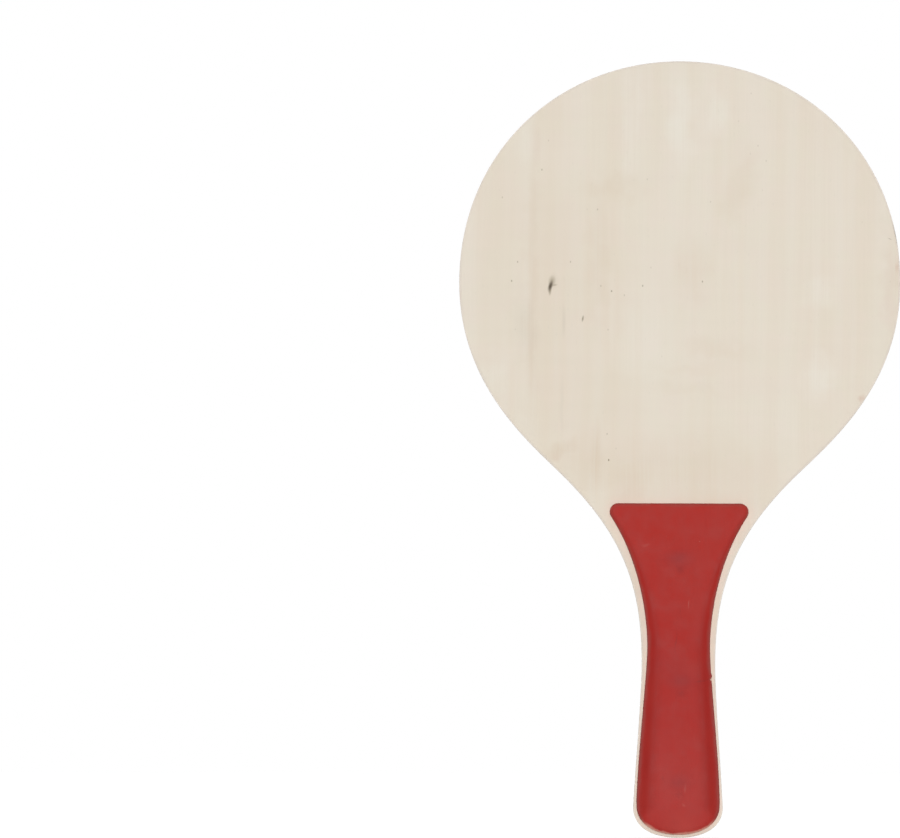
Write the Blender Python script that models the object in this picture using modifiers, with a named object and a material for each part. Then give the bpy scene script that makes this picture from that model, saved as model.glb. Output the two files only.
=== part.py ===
"""A beach bat: a round blade of five veneers, with a painted wooden scale on each side of its handle."""

import math

import bmesh
import bpy
import numpy as np
from mathutils import Vector
from mathutils.geometry import interpolate_bezier

# All sizes are in metres and degrees. The bat stands on its butt: +Z runs up the handle to
# the head, +X across the blade, and the front face looks along -Y. The origin is at the
# butt's lowest point, in the middle of the blade's thickness.

# Blade outline, half of it from the butt up
HANDLE_LENGTH = 0.1549  # butt end to the middle of the straight flank
HEAD_RISE = 0.0810  # flank to the head's widest line
HEAD_TOP = 0.0941  # widest line to the top of the head
HEAD_WIDTH = 0.1875
FLANK_WIDTH = 0.1014  # across the two flanks
FLANK_ANGLE = 46.0  # of the flank, away from the bat's length
NECK_WIDTH = 0.0312  # narrowest place of the handle
NECK_HEIGHT = 0.0734
BUTT_WIDTH = 0.0381
BUTT_HEIGHT = 0.0124  # where the butt is widest

# How far each curve of the outline keeps its direction, as a share of the stretch it is in
CROWN_FULLNESS = 0.539
TEMPLE_FULLNESS = 0.601
CHEEK_FULLNESS = 0.524
SHOULDER_FULLNESS = 0.255
FLARE_FULLNESS = 0.456
NECK_FULLNESS = 0.415
GRIP_FULLNESS = 0.227
PALM_FULLNESS = 0.090
HEEL_FULLNESS = 0.296
BUTT_FULLNESS = 0.874

# Plywood
FACE_VENEER = 0.0008
CROSSBAND = 0.0012
CORE_VENEER = 0.0008
GLUE_GAP = 0.0003  # stands for every glue line
EDGE_RADIUS = 0.0013  # sanded edge of the blade

# Handle scale outline
SCALE_BELOW_FLANK = 0.0128  # top edge of the scale, below the flank
SCALE_CORNER = 0.0036
SCALE_SIDE_ANGLE = 33.0  # of its side under the corner, away from the bat's length
TOP_REVEAL = 0.0063  # wood that shows beside the scale's top corner
NECK_REVEAL = 0.0023
PALM_REVEAL = 0.0014
BUTT_REVEAL = 0.0013
SCALE_NECK_RISE = 0.0073  # the scale is narrowest this far above the blade's own neck
SCALE_FLARE_FULLNESS = 0.41
SCALE_NECK_FULLNESS = 0.24
SCALE_GRIP_FULLNESS = 0.17
SCALE_PALM_FULLNESS = 0.27
SCALE_HEEL_FULLNESS = 0.60

# Handle scale section
SCALE_THICKNESS = 0.0067  # at the palm
SCALE_TIP_THICKNESS = 0.0035  # at its top edge
SIDE_ROUND = 0.0064  # how far in the rounded side reaches, at the palm
TIP_ROUND = 0.0010  # the same at the top edge
SIDE_SLOPE = 50.0  # steepest slope of the rounded side
SIDE_WALL = 0.0010  # least upright wall under the rounded side
SIDE_SHARE = 0.9  # most of the half width that the rounded side takes
END_ROUND = 0.0150  # how far up the rounded butt end reaches
END_SLOPE = 22.0
TIP_EDGE = 0.0008  # softened top edge
END_FLAT = 0.004  # share of the end's rise that is left as a small flat

# Brads and the filler over their heads
BRAD_SHANK = 0.0012
BRAD_HEAD = 0.0020
BRAD_HEAD_HEIGHT = 0.0008
BRAD_POINT = 0.0018
BRAD_BITE = 0.0007  # how far the point enters the far scale at the palm
BRAD_SUNK = 0.0010  # head below the crown
FILLER_SUNK = 0.0001
BRAD_BELOW_TOP = 0.0283  # upper brad, below the scale's top edge
BRAD_ABOVE_END = 0.0172  # lower brad, above the scale's lower end
BRAD_MIDDLE = 0.45  # middle brad, as a share of the way from lower to upper
BRAD_STAGGER = 0.0070  # rear brads stand this much higher than the front ones
BRAD_DRIFT = {"upper": 0.0005, "middle": 0.0012, "lower": 0.0003}  # off the centre line
CLEARANCE = 0.0003  # round each brad and filler, and under the filler

# Fineness of the meshes
OUTLINE_STEPS = 20  # for each curve of the blade's outline
EDGE_STEPS = 2
SIDE_STEPS = 5
CORNER_STEPS = 8
BODY_STATIONS = 18
BUTT_STATIONS = 10
BRAD_SIDES = 16

# Derived sizes
HEAD_LINE = HANDLE_LENGTH + HEAD_RISE
BLADE_LENGTH = HEAD_LINE + HEAD_TOP
BLADE_THICKNESS = 2 * FACE_VENEER + 2 * CROSSBAND + CORE_VENEER + 4 * GLUE_GAP
SCALE_TOP = HANDLE_LENGTH - SCALE_BELOW_FLANK
SCALE_BASE = BLADE_THICKNESS / 2 + GLUE_GAP  # scale underside, from the mid-plane
CUTTER_REACH = 0.0050  # how far a cutter runs past what it cuts

# Colours, as seen in the photograph, and roughness
FACE_WOOD = ((224, 213, 197), 0.62)
CROSS_WOOD = ((203, 182, 152), 0.75)
CORE_WOOD = ((219, 203, 180), 0.70)
GRIP_PAINT = ((170, 58, 54), 0.42)
BRAD_STEEL = ((168, 168, 166), 0.35)
WOOD_FILLER = ((176, 160, 138), 0.85)


def clear_scene():
    for item in list(bpy.data.objects):
        bpy.data.objects.remove(item, do_unlink=True)


def make_collection(name):
    collection = bpy.data.collections.new(name)
    bpy.context.scene.collection.children.link(collection)
    return collection


def linear(channel):
    value = channel / 255
    return value / 12.92 if value <= 0.04045 else ((value + 0.055) / 1.055) ** 2.4


def make_material(name, look, metallic=0.0):
    colour, roughness = look
    material = bpy.data.materials.new(name)
    material.use_nodes = True
    shader = material.node_tree.nodes["Principled BSDF"]
    shader.inputs["Base Color"].default_value = (*[linear(c) for c in colour], 1.0)
    shader.inputs["Roughness"].default_value = roughness
    shader.inputs["Metallic"].default_value = metallic
    return material


def along(angle):
    """Unit step down the bat and inwards, at this angle from its length."""
    return Vector((-math.sin(math.radians(angle)), -math.cos(math.radians(angle))))


def blade_knots():
    """Right half of the blade's outline from the top down: point, handle before, handle after."""
    top = Vector((0, BLADE_LENGTH))
    side = Vector((HEAD_WIDTH / 2, HEAD_LINE))
    flank = Vector((FLANK_WIDTH / 2, HANDLE_LENGTH))
    neck = Vector((NECK_WIDTH / 2, NECK_HEIGHT))
    palm = Vector((BUTT_WIDTH / 2, BUTT_HEIGHT))
    butt = Vector((0, 0))
    flare = flank.y - neck.y
    grip = neck.y - palm.y
    across = Vector((1, 0))
    up = Vector((0, 1))
    return [
        (top, top - across * CROWN_FULLNESS * side.x, top + across * CROWN_FULLNESS * side.x),
        (side, side + up * TEMPLE_FULLNESS * HEAD_TOP, side - up * CHEEK_FULLNESS * HEAD_RISE),
        (
            flank,
            flank - along(FLANK_ANGLE) * SHOULDER_FULLNESS * HEAD_RISE,
            flank + along(FLANK_ANGLE) * FLARE_FULLNESS * flare,
        ),
        (neck, neck + up * NECK_FULLNESS * flare, neck - up * GRIP_FULLNESS * grip),
        (palm, palm + up * PALM_FULLNESS * grip, palm - up * HEEL_FULLNESS * palm.y),
        (butt, butt + across * BUTT_FULLNESS * palm.x, butt - across * BUTT_FULLNESS * palm.x),
    ]


def walk(knots, steps):
    """Points along the curves that join the knots."""
    points = [knots[0][0].copy()]
    for (start, _, leave), (end, arrive, _) in zip(knots, knots[1:]):
        points += interpolate_bezier(start, leave, arrive, end, steps + 1)[1:]
    return [Vector((point[0], point[1])) for point in points]


def half_width(points, height):
    """Half the width of an outline at this height, read between its points, which run downwards."""
    rising = points[::-1]
    return float(np.interp(height, [point.y for point in rising], [point.x for point in rising]))


def scale_outline():
    """Right half of the scale's outline from its top edge down: corner arc, side, palm and end."""
    blade = walk(blade_knots(), OUTLINE_STEPS)
    centre_height = SCALE_TOP - SCALE_CORNER
    centre = Vector((half_width(blade, centre_height) - TOP_REVEAL - SCALE_CORNER, centre_height))
    sweep = math.radians(90 + SCALE_SIDE_ANGLE)
    corner = []
    for step in range(CORNER_STEPS + 1):
        turn = math.pi / 2 - sweep * step / CORNER_STEPS
        corner.append(centre + SCALE_CORNER * Vector((math.cos(turn), math.sin(turn))))
    side = corner[-1]
    neck = Vector((NECK_WIDTH / 2 - NECK_REVEAL, NECK_HEIGHT + SCALE_NECK_RISE))
    palm = Vector((BUTT_WIDTH / 2 - PALM_REVEAL, BUTT_HEIGHT + BUTT_REVEAL))
    end = Vector((0, BUTT_REVEAL))
    up = Vector((0, 1))
    flare = side.y - neck.y
    grip = neck.y - palm.y
    knots = [
        (side, side, side + along(SCALE_SIDE_ANGLE) * SCALE_FLARE_FULLNESS * flare),
        (neck, neck + up * SCALE_NECK_FULLNESS * flare, neck - up * SCALE_GRIP_FULLNESS * grip),
        (
            palm,
            palm + up * SCALE_PALM_FULLNESS * grip,
            palm - up * SCALE_HEEL_FULLNESS * (palm.y - end.y),
        ),
        (end, end + Vector((SCALE_HEEL_FULLNESS * palm.x, 0)), end),
    ]
    return corner + walk(knots, OUTLINE_STEPS)[1:]


def tapered(full, tip, height, power):
    """A size that is full at the butt and falls to tip at the scale's top edge."""
    return full - (full - tip) * (max(height, 0.0) / SCALE_TOP) ** power


def crown_height(height):
    """Thickness of the scale on its centre line, its rounded ends included."""
    crown = tapered(SCALE_THICKNESS, SCALE_TIP_THICKNESS, height, 3)
    below_top = SCALE_TOP - height
    if below_top < TIP_EDGE:
        crown -= TIP_EDGE - math.sqrt(max(TIP_EDGE**2 - (TIP_EDGE - below_top) ** 2, 0.0))
    above_end = height - BUTT_REVEAL
    if above_end < END_ROUND:
        radius = END_ROUND / math.sin(math.radians(END_SLOPE))
        crown -= radius - math.sqrt(radius**2 - (END_ROUND - above_end) ** 2)
    return crown


def link_mesh(name, mesh, collection, material=None):
    item = bpy.data.objects.new(name, mesh)
    collection.objects.link(item)
    if material:
        mesh.materials.append(material)
    return item


def hide_guide(item):
    item.hide_render = True
    item.display_type = "WIRE"


def blade_blank(collection):
    """The whole routed blade with its sanded edge, which every veneer is cut from."""
    right = blade_knots()
    left = []
    for point, before, after in reversed(right[1:-1]):
        mirrored = [Vector((-v.x, v.y)) for v in (point, after, before)]
        left.append(tuple(mirrored))
    knots = right + left
    curve = bpy.data.curves.new("blade_outline", "CURVE")
    curve.dimensions = "2D"
    curve.fill_mode = "BOTH"
    curve.resolution_u = OUTLINE_STEPS
    curve.extrude = BLADE_THICKNESS / 2 - EDGE_RADIUS
    curve.bevel_depth = EDGE_RADIUS
    curve.bevel_resolution = EDGE_STEPS
    curve.offset = -EDGE_RADIUS
    spline = curve.splines.new("BEZIER")
    spline.bezier_points.add(len(knots) - 1)
    for knot, (point, before, after) in zip(spline.bezier_points, knots):
        knot.handle_left_type = "FREE"
        knot.handle_right_type = "FREE"
        knot.co = (point.x, point.y, 0)
        knot.handle_left = (before.x, before.y, 0)
        knot.handle_right = (after.x, after.y, 0)
    spline.use_cyclic_u = True
    outline = bpy.data.objects.new("blade_outline", curve)
    outline.rotation_euler = (math.pi / 2, 0, 0)
    collection.objects.link(outline)
    blank = solid_from_curve(outline, "blade_blank", collection)
    hide_guide(blank)
    return blank


def solid_from_curve(outline, name, collection):
    """The curve's mesh with its caps welded, in the curve's place."""
    bpy.context.view_layer.update()
    shape = outline.evaluated_get(bpy.context.evaluated_depsgraph_get())
    mesh = bpy.data.meshes.new_from_object(shape)
    mesh.name = name
    work = bmesh.new()
    work.from_mesh(mesh)
    bmesh.ops.remove_doubles(work, verts=work.verts, dist=0.000001)
    bmesh.ops.recalc_face_normals(work, faces=work.faces)
    work.to_mesh(mesh)
    work.free()
    solid = link_mesh(name, mesh, collection)
    solid.matrix_world = outline.matrix_world.copy()
    curve = outline.data
    bpy.data.objects.remove(outline, do_unlink=True)
    bpy.data.curves.remove(curve)
    return solid


def box_cutter(name, low, high, collection):
    mesh = bpy.data.meshes.new(name)
    work = bmesh.new()
    bmesh.ops.create_cube(work, size=1.0)
    sides = [b - a for a, b in zip(low, high)]
    bmesh.ops.scale(work, vec=sides, verts=work.verts)
    work.to_mesh(mesh)
    work.free()
    cutter = link_mesh(name, mesh, collection)
    cutter.location = [(a + b) / 2 for a, b in zip(low, high)]
    hide_guide(cutter)
    return cutter


def cut(item, cutter, operation):
    boolean = item.modifiers.new(f"{operation.lower()}_{cutter.name}", "BOOLEAN")
    boolean.operation = operation
    boolean.solver = "EXACT"
    boolean.object = cutter


def smooth(item, angle):
    item.data.shade_smooth()
    item.data.set_sharp_from_angle(angle=math.radians(angle))


def make_ply(name, front, thickness, blank, collection, cutters, material):
    """One veneer: the blade between two planes. front is its front surface, from the front face."""
    near = -BLADE_THICKNESS / 2 + front
    far = near + thickness
    if front <= 0:
        near -= CUTTER_REACH
    if front + thickness >= BLADE_THICKNESS - GLUE_GAP:
        far += CUTTER_REACH
    wide = HEAD_WIDTH / 2 + CUTTER_REACH
    low = (-wide, near, -CUTTER_REACH)
    high = (wide, far, BLADE_LENGTH + CUTTER_REACH)
    slab = box_cutter(f"{name}_slab", low, high, cutters)
    ply = link_mesh(name, blank.data.copy(), collection, material)
    ply.rotation_euler = blank.rotation_euler
    cut(ply, slab, "INTERSECT")
    smooth(ply, 30)
    return ply


def make_plies(blank, collection, cutters, woods):
    layers = [
        ("face_veneer_front", FACE_VENEER, woods["face"]),
        ("crossband_front", CROSSBAND, woods["cross"]),
        ("core_veneer", CORE_VENEER, woods["core"]),
        ("crossband_rear", CROSSBAND, woods["cross"]),
        ("face_veneer_rear", FACE_VENEER, woods["face"]),
    ]
    plies = []
    front = 0.0
    for name, thickness, material in layers:
        plies.append(make_ply(name, front, thickness, blank, collection, cutters, material))
        front += thickness + GLUE_GAP
    return plies


def scale_section(half, crown, side_round):
    """Half the section, from the underside's edge up the wall and over the rounded side."""
    slope = math.radians(SIDE_SLOPE)
    reach = min(side_round, SIDE_SHARE * half, (crown - SIDE_WALL) / math.tan(slope / 2))
    radius = reach / math.sin(slope)
    points = [(half, 0.0)]
    for step in range(SIDE_STEPS + 1):
        turn = slope * (1 - step / SIDE_STEPS)
        across = half - reach + radius * math.sin(turn)
        points.append((across, crown - radius * (1 - math.cos(turn))))
    return points


def scale_stations():
    """Heights of the sections, from the top edge down, closer together at both ends."""
    palm = BUTT_HEIGHT + BUTT_REVEAL
    corner_zone = 2 * SCALE_CORNER
    heights = []
    for step in range(CORNER_STEPS + 1):
        fall = 1 - math.cos(math.pi / 2 * step / CORNER_STEPS)
        heights.append(SCALE_TOP - corner_zone * fall)
    start = heights[-1]
    for step in range(1, BODY_STATIONS + 1):
        heights.append(start + (palm - start) * step / BODY_STATIONS)
    steepest = math.asin(1 - END_FLAT)
    for step in range(1, BUTT_STATIONS + 1):
        rise = 1 - math.sin(steepest * step / BUTT_STATIONS)
        heights.append(BUTT_REVEAL + (palm - BUTT_REVEAL) * rise)
    return heights


def make_scale(name, collection, material):
    """The handle scale as a loft of its sections, which change from the flared tip to the palm."""
    outline = scale_outline()
    work = bmesh.new()
    rings = []
    for height in scale_stations():
        half = half_width(outline, height)
        side_round = tapered(SIDE_ROUND, TIP_ROUND, height, 2)
        right = scale_section(half, crown_height(height), side_round)
        left = [(-across, rise) for across, rise in reversed(right)]
        ring = [work.verts.new((x, -SCALE_BASE - rise, height)) for x, rise in right + left]
        rings.append(ring)
    for upper, lower in zip(rings, rings[1:]):
        for i, corner in enumerate(upper):
            j = (i + 1) % len(upper)
            work.faces.new((corner, upper[j], lower[j], lower[i]))
    work.faces.new(rings[0])
    work.faces.new(rings[-1])
    bmesh.ops.recalc_face_normals(work, faces=work.faces)
    mesh = bpy.data.meshes.new(name)
    work.to_mesh(mesh)
    work.free()
    scale = link_mesh(name, mesh, collection, material)
    smooth(scale, 30)
    return scale


def turned(name, profile, collection, material=None):
    """A round piece from its profile (radius, height), which runs from the top down its outer side."""
    mesh = bpy.data.meshes.new(name)
    edges = [(i, i + 1) for i in range(len(profile) - 1)]
    mesh.from_pydata([(radius, 0, rise) for radius, rise in profile], edges, [])
    item = link_mesh(name, mesh, collection, material)
    screw = item.modifiers.new("turn", "SCREW")
    screw.angle = 2 * math.pi
    screw.steps = BRAD_SIDES
    screw.render_steps = BRAD_SIDES
    screw.use_merge_vertices = True
    screw.merge_threshold = 0.000001
    return item


def brad_length():
    return SCALE_THICKNESS + 2 * GLUE_GAP + BLADE_THICKNESS + BRAD_BITE - BRAD_SUNK


def brad_profile(grow):
    """Brad from its head's top at zero down to its point, or the hole round it where grow is set."""
    head = BRAD_HEAD / 2 + grow
    shank = BRAD_SHANK / 2 + grow
    tip = -brad_length()
    if grow:
        return [
            (0, BRAD_SUNK + CUTTER_REACH),
            (head, BRAD_SUNK + CUTTER_REACH),
            (head, -BRAD_HEAD_HEIGHT - grow),
            (shank, -BRAD_HEAD_HEIGHT - grow),
            (shank, tip - grow),
            (0, tip - grow),
        ]
    return [
        (0, 0),
        (head, 0),
        (head, -BRAD_HEAD_HEIGHT),
        (shank, -BRAD_HEAD_HEIGHT),
        (shank, tip + BRAD_POINT),
        (0, tip),
    ]


def filler_profile():
    """Filler plug from its dried top down to just over the brad's head, from the head's top at zero."""
    radius = BRAD_HEAD / 2
    return [
        (0, BRAD_SUNK - FILLER_SUNK),
        (radius, BRAD_SUNK - FILLER_SUNK),
        (radius, CLEARANCE),
        (0, CLEARANCE),
    ]


def brad_places(raised):
    """Name, drift and height of each brad of one side."""
    lower = BUTT_REVEAL + BRAD_ABOVE_END + raised
    upper = SCALE_TOP - BRAD_BELOW_TOP + raised
    middle = lower + BRAD_MIDDLE * (upper - lower)
    heights = {"upper": upper, "middle": middle, "lower": lower}
    return [(name, BRAD_DRIFT[name], height) for name, height in heights.items()]


def place_turned(item, side, drift, height):
    """Lays a turned piece in its hole, its top outwards. side is -1 in front and 1 at the rear."""
    depth = SCALE_BASE + crown_height(height) - BRAD_SUNK
    item.location = (-side * drift, side * depth, height)
    item.rotation_euler = (-side * math.pi / 2, 0, 0)
    smooth(item, 30)


def make_brads(collection, cutters, steel, filler):
    """Brads and fillers of both sides, and a hole cutter for each brad."""
    holes = []
    for side, where, raised in ((-1, "front", 0.0), (1, "rear", BRAD_STAGGER)):
        for name, drift, height in brad_places(raised):
            brad = turned(f"brad_{where}_{name}", brad_profile(0.0), collection, steel)
            plug = turned(f"filler_{where}_{name}", filler_profile(), collection, filler)
            hole = turned(f"hole_{where}_{name}", brad_profile(CLEARANCE), cutters)
            hide_guide(hole)
            holes.append(hole)
            for item in (brad, plug, hole):
                place_turned(item, side, drift, height)
    return holes


def main():
    clear_scene()
    collection = make_collection("beach_bat")
    cutters = make_collection("beach_bat_cutters")
    woods = {
        "face": make_material("face_wood", FACE_WOOD),
        "cross": make_material("cross_wood", CROSS_WOOD),
        "core": make_material("core_wood", CORE_WOOD),
    }
    paint = make_material("grip_paint", GRIP_PAINT)
    steel = make_material("brad_steel", BRAD_STEEL, metallic=1.0)
    filler = make_material("wood_filler", WOOD_FILLER)

    blank = blade_blank(cutters)
    drilled = make_plies(blank, collection, cutters, woods)
    for name, turn in (("handle_scale_front", 0.0), ("handle_scale_rear", math.pi)):
        scale = make_scale(name, collection, paint)
        scale.rotation_euler = (0, 0, turn)
        drilled.append(scale)
    holes = make_brads(collection, cutters, steel, filler)
    for piece in drilled:
        for hole in holes:
            cut(piece, hole, "DIFFERENCE")


main()
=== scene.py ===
import math

import bmesh
import bpy
import numpy as np
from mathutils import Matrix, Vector


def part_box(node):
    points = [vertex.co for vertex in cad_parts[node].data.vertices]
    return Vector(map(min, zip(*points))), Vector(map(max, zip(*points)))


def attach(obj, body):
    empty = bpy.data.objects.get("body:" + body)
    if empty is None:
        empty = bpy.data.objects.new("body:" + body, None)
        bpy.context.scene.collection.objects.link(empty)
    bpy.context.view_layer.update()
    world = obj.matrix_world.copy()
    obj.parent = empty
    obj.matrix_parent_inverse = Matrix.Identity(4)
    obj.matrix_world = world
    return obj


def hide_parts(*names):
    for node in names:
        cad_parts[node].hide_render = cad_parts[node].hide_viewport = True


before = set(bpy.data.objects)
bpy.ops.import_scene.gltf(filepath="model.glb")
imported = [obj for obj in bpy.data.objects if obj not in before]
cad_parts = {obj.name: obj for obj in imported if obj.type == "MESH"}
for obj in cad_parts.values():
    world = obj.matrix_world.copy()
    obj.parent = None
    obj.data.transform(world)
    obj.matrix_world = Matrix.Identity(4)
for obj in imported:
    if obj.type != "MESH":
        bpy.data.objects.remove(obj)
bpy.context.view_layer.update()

# A beach bat: a round plywood blade with a red painted grip scale on each side of its handle.
# Metres, +Z up the bat, and the front face looks along -Y. Every surface starts from the
# outline and the box of the CAD piece that it stands for.

mm = 0.001
bradNodes = sorted(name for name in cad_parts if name.startswith("brad_"))
fillerNodes = sorted(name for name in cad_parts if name.startswith("filler_"))


def middle(node):
    low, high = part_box(node)
    return (low + high) / 2


# Plies, front to rear: name, CAD node and material slot
plies = [
    ("veneer_front", "face_veneer_front", "face_wood"),
    ("crossply_front", "crossband_front", "cross_wood"),
    ("core_ply", "core_veneer", "core_wood"),
    ("crossply_rear", "crossband_rear", "cross_wood"),
    ("veneer_rear", "face_veneer_rear", "face_wood"),
]

blade = {
    "rows": 620,  # from the top of the head to the butt
    "faceColumns": 124,
    "hiddenColumns": 8,
    "tearHeight": 231 * mm,  # rows lie closer together at this height,
    "rowCrowding": 1.6,  # by so much,
    "rowReach": 12 * mm,  # as far as this from it
    "columnCrowding": 3.5,  # and so do the columns beside the torn flake
    "columnReach": 0.035,  # share of the blade's width
    "rimSteps": 6,  # across one ply's edge
    "edgeRadius": 0.5 * mm,
    "glueLine": 0.08 * mm,
    "glueSunk": 0.05 * mm,
    "plyWander": 0.05 * mm,  # how far a glue line strays from its level
    "plyWaves": (3, 60),  # strays this often round the outline
    "endGrainSunk": 0.035 * mm,  # the crossplies' end grain lies this much lower
    "rimWobble": 0.025 * mm,
    "rimWaves": (40, 420),
    "faceHollow": 0.04 * mm,  # depth of the sanded face's shallow hollows
    "faceWave": (26 * mm, 90 * mm),  # shortest wave across and up the bat
    "calmRim": 6 * mm,  # the hollows fade where the half width is less, at the top and the butt
    "seeds": {"wander": 11, "rim": 41, "face": 60, "glue": 81},
}

# Torn places in the front veneer, in mm: middle, half sizes, lean in degrees, strength, tone, depth
tears = {
    "feather": ((-54.4, 236.4), (1.2, 1.9), 8, 0.55, "fleck", 0.06),
    "tail": ((-55.2, 232.2), (0.5, 1.6), 4, 0.75, "fleck", 0.12),
    "flake": ((-55.0, 234.3), (0.74, 2.0), 17, 1.0, "dark", 0.30),
    "spur": ((-53.3, 234.7), (1.1, 0.42), -10, 0.45, "fleck", 0.08),
    "fleck": ((-41.2, 220.5), (0.34, 1.2), 10, 0.95, "fleck", 0.12),
}


# Points of a CAD node, one row each
def nodePoints(name):
    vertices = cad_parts[name].data.vertices
    points = np.empty(len(vertices) * 3, np.float32)
    vertices.foreach_get("co", points)
    return points.reshape(-1, 3).astype(float)


# Right half of a node's outline, from the top down: at each height of its mesh the outermost
# point. Points round the brad holes are left out.
def halfOutline(name, holeMargin=2.5 * mm, grain=0.001 * mm):
    points = nodePoints(name)
    keep = points[:, 0] > -grain
    for brad in bradNodes:
        axis = middle(brad)
        keep &= np.hypot(points[:, 0] - axis.x, points[:, 2] - axis.z) > holeMargin
    across, down = points[keep, 0], -np.round(points[keep, 2] / grain) * grain
    order = np.lexsort((-across, down))
    heights, first = np.unique(down[order], return_index=True)
    return np.column_stack([across[order][first], -heights])


# A smooth curve through knots: cubics whose slope at each knot is that of the knots beside it
def curveThrough(knots, along, places):
    slope = np.gradient(knots, along, axis=0)
    k = np.clip(np.searchsorted(along, places, side="right") - 1, 0, len(along) - 2)
    gap = (along[k + 1] - along[k])[:, None]
    t = (places - along[k])[:, None] / gap
    start = (2 * t**3 - 3 * t**2 + 1) * knots[k] + (t**3 - 2 * t**2 + t) * gap * slope[k]
    end = (3 * t**2 - 2 * t**3) * knots[k + 1] + (t**3 - t**2) * gap * slope[k + 1]
    return start + end


# Shares from 0 to 1, closer together where the weight is high: equal steps of the summed weight
def crowded(count, weight, fineSteps=4001):
    fine = np.linspace(0, 1, fineSteps)
    heavy = weight(fine)
    total = np.concatenate([[0], np.cumsum((heavy[1:] + heavy[:-1]) / 2)])
    return np.interp(np.linspace(0, total[-1], count + 1), total, fine)


# 1 at the middle, falling like a bell over the half width on either side
def hump(value, at, half):
    return np.exp(-(((value - at) / half) ** 2))


# Half an outline as rows: x, z, outward normal and how far round the whole outline each lies.
# lead and tail are knots past its ends, and crowd says how much closer the rows lie at a height.
def outlineRows(knots, lead, tail, count, crowd):
    padded = np.vstack([lead, knots, tail])
    along = np.concatenate([[0], np.cumsum(np.linalg.norm(np.diff(padded, axis=0), axis=1))])
    start, end = along[len(lead)], along[-1 - len(tail)]

    def weight(share):
        points = curveThrough(padded, along, start + (end - start) * share)
        return 1 + crowd(points[:, 1])

    share = crowded(count, weight)
    places = start + (end - start) * share
    points = curveThrough(padded, along, places)
    tiny = 0.01 * mm
    ahead = curveThrough(padded, along, places + tiny) - curveThrough(padded, along, places - tiny)
    ahead /= np.linalg.norm(ahead, axis=1)[:, None]
    rows = {"x": points[:, 0], "z": points[:, 1], "nx": -ahead[:, 1], "nz": ahead[:, 0]}
    return {**rows, "share": share / 2}


# An end of the rows on the bat's axis, facing straight up (1) or down (-1)
def closeEnd(rows, end, direction):
    rows["x"][end], rows["nx"][end], rows["nz"][end] = 0, 0, direction


# Unevenness round the outline: a sum of cosines that each fit it a whole number of times
def ripple(share, waves, seed, count=24):
    random = np.random.default_rng(seed)
    turns = random.integers(waves[0], waves[1], count)
    phase = random.uniform(0, 2 * np.pi, count)
    total = np.cos(2 * np.pi * np.multiply.outer(share, turns) + phase).sum(-1)
    return np.clip(total / math.sqrt(count / 2), -2, 2)


# Unevenness over a face, from 0 to 1: a sum of plane waves. size is the shortest across and up.
def swell(x, z, size, seed, count=20):
    random = np.random.default_rng(seed)
    total = np.zeros_like(x)
    for across, up, phase in random.uniform((-1, -1, 0), (1, 1, 2 * np.pi), (count, 3)):
        total += np.cos(2 * np.pi * (across * x / size[0] + up * z / size[1]) + phase)
    return np.clip(0.5 + total / math.sqrt(8 * count), 0, 1)


# 1 in the middle of a tilted ellipse and falling like a bell to 0 outside it
def bell(x, z, at, half, lean):
    turn = math.radians(lean)
    across = (x - at[0]) * math.cos(turn) - (z - at[1]) * math.sin(turn)
    up = (x - at[0]) * math.sin(turn) + (z - at[1]) * math.cos(turn)
    return np.exp(-((across / half[0]) ** 2) - (up / half[1]) ** 2)


# A grid of points from its coordinates, each an array or one number
def gridOf(x, y, z):
    return np.stack(np.broadcast_arrays(x, y, z), axis=-1)


# The border of a grid whose last row is one point: first row, right side down, left side up
def border(grid):
    return np.concatenate([grid[0, :], grid[1:, -1], grid[-2::-1, 0]])


# The front grip's grids, turned half round the bat's axis for the rear one
def onSide(grids, turned):
    return [grid * np.array([-1, -1, 1]) for grid in grids] if turned else grids


# Grids of points made one closed mesh: neighbours joined by quads, borders that coincide merged
# and faces turned outwards. values holds a number for each point.
def closedMesh(name, grids, values=None, crease=40, weld=0.0001 * mm):
    quads, start = [], 0
    for grid in grids:
        rows, columns = grid.shape[:2]
        index = start + np.arange(rows * columns).reshape(rows, columns)
        corners = [index[:-1, :-1], index[:-1, 1:], index[1:, 1:], index[1:, :-1]]
        quads.append(np.stack(corners, axis=-1).reshape(-1, 4))
        start += rows * columns
    points = np.concatenate([grid.reshape(-1, 3) for grid in grids])
    mesh = bpy.data.meshes.new(name)
    mesh.from_pydata(points.tolist(), [], np.concatenate(quads).tolist())
    for label, arrays in (values or {}).items():
        layer = mesh.attributes.new(label, "FLOAT", "POINT")
        layer.data.foreach_set("value", np.concatenate([a.ravel() for a in arrays]).astype(np.float32))
    work = bmesh.new()
    work.from_mesh(mesh)
    bmesh.ops.remove_doubles(work, verts=work.verts, dist=weld)
    bmesh.ops.recalc_face_normals(work, faces=work.faces)
    work.to_mesh(mesh)
    work.free()
    mesh.shade_smooth()
    mesh.set_sharp_from_angle(angle=math.radians(crease))
    return mesh


def newObject(name, data):
    thing = bpy.data.objects.new(name, data)
    bpy.context.scene.collection.objects.link(thing)
    return thing


def newPiece(name, mesh, material, nodes=()):
    piece = newObject(name, mesh)
    mesh.materials.append(material)
    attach(piece, "root")
    if nodes:
        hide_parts(*nodes)


# Blade outline, read from the middle ply. Past each end it goes on as its own mirror image.
flip = np.array([-1, 1])
bladeKnots = halfOutline("core_veneer")
bladeRows = outlineRows(
    bladeKnots,
    bladeKnots[3:0:-1] * flip,
    bladeKnots[-2:-5:-1] * flip,
    blade["rows"],
    lambda z: blade["rowCrowding"] * hump(z, blade["tearHeight"], blade["rowReach"]),
)
closeEnd(bladeRows, 0, 1)
closeEnd(bladeRows, -1, -1)
halfThickness = -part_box("face_veneer_front")[0].y


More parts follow.
